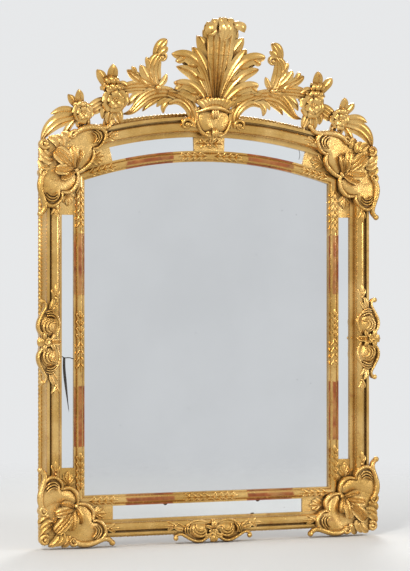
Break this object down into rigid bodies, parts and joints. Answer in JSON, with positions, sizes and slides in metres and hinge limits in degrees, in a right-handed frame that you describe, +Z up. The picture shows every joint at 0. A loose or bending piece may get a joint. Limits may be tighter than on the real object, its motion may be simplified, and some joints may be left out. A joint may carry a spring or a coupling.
{
  "type": "wall mirror",
  "caption": "Carved giltwood wall mirror with an arched plate, a border of narrow mirror strips, scrolled corners and an openwork crest of leaves and flowers.",
  "frame": {"origin": "middle of the bottom rail's back face, where the mirror bears on the wall", "axes": "+Z up, +X to the right seen from the front, +Y into the wall; the glass faces -Y"},
  "size_m": [1.1098, 0.1938, 1.5669],
  "materials": {
    "giltwood": "water gilding over bole and gesso, burnished and worn",
    "oak": "aged oak, unfinished",
    "oak_pins": "cut oak end grain",
    "deal": "rough softwood board",
    "mirror_glass": "old silvered plate with light foxing",
    "iron": "forged iron, dark patina",
    "iron_fasteners": "dull iron"
  },
  "bodies": {
    "frame": {"inner_moulding_left": "giltwood", "inner_moulding_right": "giltwood", "inner_moulding_bottom": "giltwood", "inner_moulding_top": "giltwood", "outer_moulding_left": "giltwood", "outer_moulding_right": "giltwood", "outer_moulding_bottom": "giltwood", "outer_moulding_top": "giltwood", "corner_panel_bottom_left": "giltwood", "corner_panel_bottom_right": "giltwood", "corner_panel_top_left": "giltwood", "corner_panel_top_right": "giltwood", "keystone_panel": "giltwood", "corner_carving_bottom_left": "giltwood", "corner_carving_bottom_right": "giltwood", "corner_carving_top_left": "giltwood", "corner_carving_top_right": "giltwood", "cartouche_left": "giltwood", "cartouche_right": "giltwood", "cartouche_bottom": "giltwood", "crest_console": "giltwood", "crest_palmette": "giltwood", "crest_palmette_tip": "giltwood", "crest_scroll_left": "giltwood", "crest_scroll_right": "giltwood", "crest_branch_left": "giltwood", "crest_branch_right": "giltwood", "crest_flower_inner_left": "giltwood", "crest_flower_inner_right": "giltwood", "crest_flower_outer_left": "giltwood", "crest_flower_outer_right": "giltwood", "stile_left": "oak", "stile_right": "oak", "rail_bottom": "oak", "rail_top": "oak", "crest_brace": "oak", "lap_pins": "oak_pins", "backboard_1": "deal", "backboard_2": "deal", "backboard_3": "deal", "backboard_4": "deal", "plate_blocks": "deal", "mirror_plate": "mirror_glass", "mirror_strip_left": "mirror_glass", "mirror_strip_right": "mirror_glass", "mirror_strip_bottom": "mirror_glass", "mirror_strip_top_left": "mirror_glass", "mirror_strip_top_right": "mirror_glass", "hanger_strap_left": "iron", "hanger_strap_right": "iron", "backboard_nails": "iron_fasteners", "brace_screws": "iron_fasteners", "hanger_screws": "iron_fasteners", "spray_pins": "iron_fasteners"},
    "ring_left": {"hanger_ring_left": "iron"},
    "ring_right": {"hanger_ring_right": "iron"}
  },
  "joints": [
    {"name": "ring_left_swing", "type": "hinge", "parent": "frame", "child": "ring_left", "pos_m": [-0.46341, 0.006, 0.86155], "axis": [1, 0, 0], "range_deg": [0, 180]},
    {"name": "ring_right_swing", "type": "hinge", "parent": "frame", "child": "ring_right", "pos_m": [0.46341, 0.006, 0.86155], "axis": [1, 0, 0], "range_deg": [0, 180]}
  ]
}
